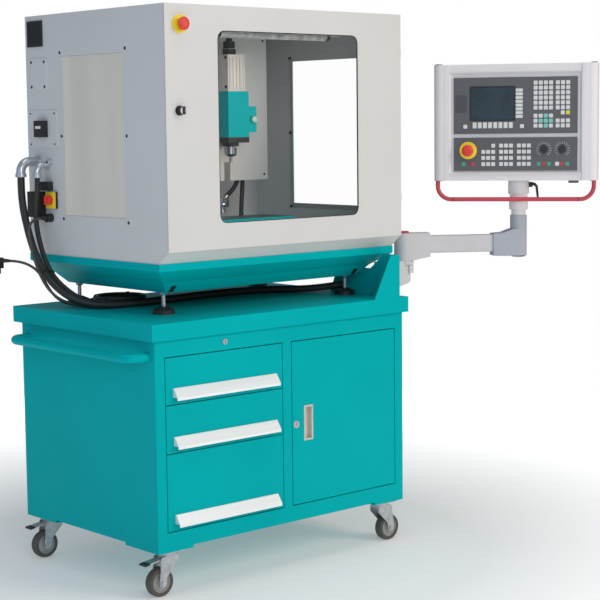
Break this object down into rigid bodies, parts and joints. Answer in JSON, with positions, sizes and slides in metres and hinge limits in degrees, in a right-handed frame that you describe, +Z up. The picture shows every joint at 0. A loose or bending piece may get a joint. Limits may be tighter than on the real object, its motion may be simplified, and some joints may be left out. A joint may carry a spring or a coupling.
{
  "type": "cnc machining center",
  "caption": "Enclosed CNC mill on a wheeled cabinet, with a swing-arm operator panel, a hinged guard door with window, drawers, a cupboard, and sliding table, saddle and head.",
  "frame": {"origin": "on the floor under the centre of the cabinet body", "axes": "+X to the right seen from the front, +Y to the back, +Z up; the front faces -Y"},
  "size_m": [1.7293, 1.2112, 1.793],
  "materials": {
    "teal_paint": "satin powder coat",
    "mill_paint": "gloss machine enamel",
    "guard_paint": "satin powder coat",
    "arm_paint": "fine texture coat",
    "housing_paint": "satin coat",
    "zinc": "zinc plated",
    "bright_aluminium": "anodised",
    "chrome": "polished",
    "column_iron": "painted cover and machined column",
    "table_iron": "ground",
    "dark_plastic": "moulded",
    "panel_plastic": "foil keys on a moulded front",
    "black_rubber": "ribbed hose and cable",
    "wheel_rubber": "solid tyre",
    "clear_pane": "clear",
    "stop_red": "moulded",
    "red_paint": "powder coat",
    "spindle_steel": "ground steel"
  },
  "bodies": {
    "base": {"cabinet_body": "teal_paint", "worktop": "teal_paint", "push_handle": "teal_paint", "drawer_runners": "zinc", "caster_plates": "zinc", "levelling_feet": "dark_plastic", "chip_tray": "teal_paint", "enclosure_shell": "guard_paint", "side_panes": "clear_pane", "lamp": "guard_paint", "side_fittings": "dark_plastic", "hose_elbows": "chrome", "mill_base": "mill_paint", "mill_column": "column_iron", "arm_bracket": "teal_paint", "arm_mount": "arm_paint", "conduit_large": "black_rubber", "conduit_small": "black_rubber", "mains_lead": "black_rubber", "mains_plug": "dark_plastic", "cable_coil": "black_rubber"},
    "top_drawer": {"drawer_1": "teal_paint", "drawer_grip_1": "bright_aluminium"},
    "middle_drawer": {"drawer_2": "teal_paint", "drawer_grip_2": "bright_aluminium"},
    "bottom_drawer": {"drawer_3": "teal_paint", "drawer_grip_3": "bright_aluminium"},
    "cupboard": {"cupboard_door": "teal_paint", "cupboard_pull": "bright_aluminium"},
    "guard_door": {"front_door": "guard_paint", "door_pane": "clear_pane"},
    "knob": {"door_knob": "dark_plastic"},
    "door_button": {"door_stop": "stop_red"},
    "switch": {"main_switch_knob": "stop_red"},
    "swing_arm": {"arm_pivot_block": "arm_paint", "arm_tube": "arm_paint", "arm_elbow": "arm_paint"},
    "pendant": {"pendant_housing": "housing_paint", "display_panel": "panel_plastic", "control_panel": "panel_plastic", "pendant_handle": "red_paint"},
    "lever": {"clamp_lever": "dark_plastic"},
    "pendant_button": {"pendant_stop": "stop_red"},
    "dial_1": {"override_dial_1": "dark_plastic"},
    "dial_2": {"override_dial_2": "dark_plastic"},
    "saddle": {"mill_saddle": "mill_paint"},
    "table": {"mill_table": "table_iron"},
    "head": {"mill_head": "teal_paint", "spindle_motor": "bright_aluminium"},
    "cutter": {"spindle": "spindle_steel"},
    "fork_fl": {"caster_fork_fl": "zinc"},
    "wheel_fl": {"caster_wheel_fl": "wheel_rubber"},
    "pedal_fl": {"brake_pedal_fl": "dark_plastic"},
    "fork_fr": {"caster_fork_fr": "zinc"},
    "wheel_fr": {"caster_wheel_fr": "wheel_rubber"},
    "fork_rl": {"caster_fork_rl": "zinc"},
    "wheel_rl": {"caster_wheel_rl": "wheel_rubber"},
    "pedal_rl": {"brake_pedal_rl": "dark_plastic"},
    "fork_rr": {"caster_fork_rr": "zinc"},
    "wheel_rr": {"caster_wheel_rr": "wheel_rubber"}
  },
  "joints": [
    {"name": "top_drawer_slide", "type": "slide", "parent": "base", "child": "top_drawer", "axis": [0, -1, 0], "range_m": [0, 0.45]},
    {"name": "middle_drawer_slide", "type": "slide", "parent": "base", "child": "middle_drawer", "axis": [0, -1, 0], "range_m": [0, 0.45]},
    {"name": "bottom_drawer_slide", "type": "slide", "parent": "base", "child": "bottom_drawer", "axis": [0, -1, 0], "range_m": [0, 0.45]},
    {"name": "cupboard_hinge", "type": "hinge", "parent": "base", "child": "cupboard", "pos_m": [0.48, -0.3565, 0.47], "axis": [0, 0, 1], "range_deg": [0, 110]},
    {"name": "guard_hinge", "type": "hinge", "parent": "base", "child": "guard_door", "pos_m": [0.556, -0.3145, 1.42], "axis": [0, 0, 1], "range_deg": [0, 90]},
    {"name": "knob_turn", "type": "hinge", "parent": "guard_door", "child": "knob", "pos_m": [-0.394, -0.3365, 1.476], "axis": [0, -1, 0], "range_deg": [0, 90]},
    {"name": "door_button_press", "type": "slide", "parent": "guard_door", "child": "door_button", "axis": [0, 1, 0], "range_m": [0, 0.005], "stiffness_N_per_m": 400},
    {"name": "switch_turn", "type": "hinge", "parent": "base", "child": "switch", "pos_m": [-0.453, 0.2825, 1.193], "axis": [-1, 0, 0], "range_deg": [0, 90]},
    {"name": "arm_swing", "type": "hinge", "parent": "base", "child": "swing_arm", "pos_m": [0.617, -0.284, 1], "axis": [0, 0, 1], "range_deg": [-45, 55]},
    {"name": "pendant_swivel", "type": "hinge", "parent": "swing_arm", "child": "pendant", "pos_m": [0.94876, -0.5163, 1.11], "axis": [0, 0, 1], "range_deg": [-45, 45]},
    {"name": "lever_turn", "type": "hinge", "parent": "pendant", "child": "lever", "pos_m": [0.96997, -0.54539, 1.214], "axis": [0.5892, -0.808, 0], "range_deg": [-60, 60]},
    {"name": "pendant_button_press", "type": "slide", "parent": "pendant", "child": "pendant_button", "axis": [0.808, 0.5892, 0], "range_m": [0, 0.005], "stiffness_N_per_m": 400},
    {"name": "dial_1_turn", "type": "hinge", "parent": "pendant", "child": "dial_1", "pos_m": [0.95037, -0.62713, 1.336], "axis": [-0.808, -0.5892, 0], "range_deg": [-150, 150]},
    {"name": "dial_2_turn", "type": "hinge", "parent": "pendant", "child": "dial_2", "pos_m": [0.9869, -0.67722, 1.336], "axis": [-0.808, -0.5892, 0], "range_deg": [-150, 150]},
    {"name": "saddle_slide", "type": "slide", "parent": "base", "child": "saddle", "axis": [0, 1, 0], "range_m": [-0.06, 0.06]},
    {"name": "table_slide", "type": "slide", "parent": "saddle", "child": "table", "axis": [1, 0, 0], "range_m": [-0.095, 0.095]},
    {"name": "head_slide", "type": "slide", "parent": "base", "child": "head", "axis": [0, 0, 1], "range_m": [-0.18, 0.05]},
    {"name": "cutter_spin", "type": "hinge", "parent": "head", "child": "cutter", "pos_m": [0.053, -0.0325, 1.4], "axis": [0, 0, 1], "continuous": true},
    {"name": "swivel_fl", "type": "hinge", "parent": "base", "child": "fork_fl", "pos_m": [-0.457, -0.3175, 0.13], "axis": [0, 0, 1], "continuous": true},
    {"name": "roll_fl", "type": "hinge", "parent": "fork_fl", "child": "wheel_fl", "pos_m": [-0.491, -0.3175, 0.045], "axis": [0, 1, 0], "continuous": true},
    {"name": "brake_fl", "type": "hinge", "parent": "fork_fl", "child": "pedal_fl", "pos_m": [-0.487, -0.3175, 0.113], "axis": [0, -1, 0], "range_deg": [0, 12]},
    {"name": "swivel_fr", "type": "hinge", "parent": "base", "child": "fork_fr", "pos_m": [0.457, -0.3175, 0.13], "axis": [0, 0, 1], "continuous": true},
    {"name": "roll_fr", "type": "hinge", "parent": "fork_fr", "child": "wheel_fr", "pos_m": [0.491, -0.3175, 0.045], "axis": [0, 1, 0], "continuous": true},
    {"name": "swivel_rl", "type": "hinge", "parent": "base", "child": "fork_rl", "pos_m": [-0.457, 0.3175, 0.13], "axis": [0, 0, 1], "continuous": true},
    {"name": "roll_rl", "type": "hinge", "parent": "fork_rl", "child": "wheel_rl", "pos_m": [-0.491, 0.3175, 0.045], "axis": [0, 1, 0], "continuous": true},
    {"name": "brake_rl", "type": "hinge", "parent": "fork_rl", "child": "pedal_rl", "pos_m": [-0.487, 0.3175, 0.113], "axis": [0, -1, 0], "range_deg": [0, 12]},
    {"name": "swivel_rr", "type": "hinge", "parent": "base", "child": "fork_rr", "pos_m": [0.457, 0.3175, 0.13], "axis": [0, 0, 1], "continuous": true},
    {"name": "roll_rr", "type": "hinge", "parent": "fork_rr", "child": "wheel_rr", "pos_m": [0.491, 0.3175, 0.045], "axis": [0, 1, 0], "continuous": true}
  ]
}
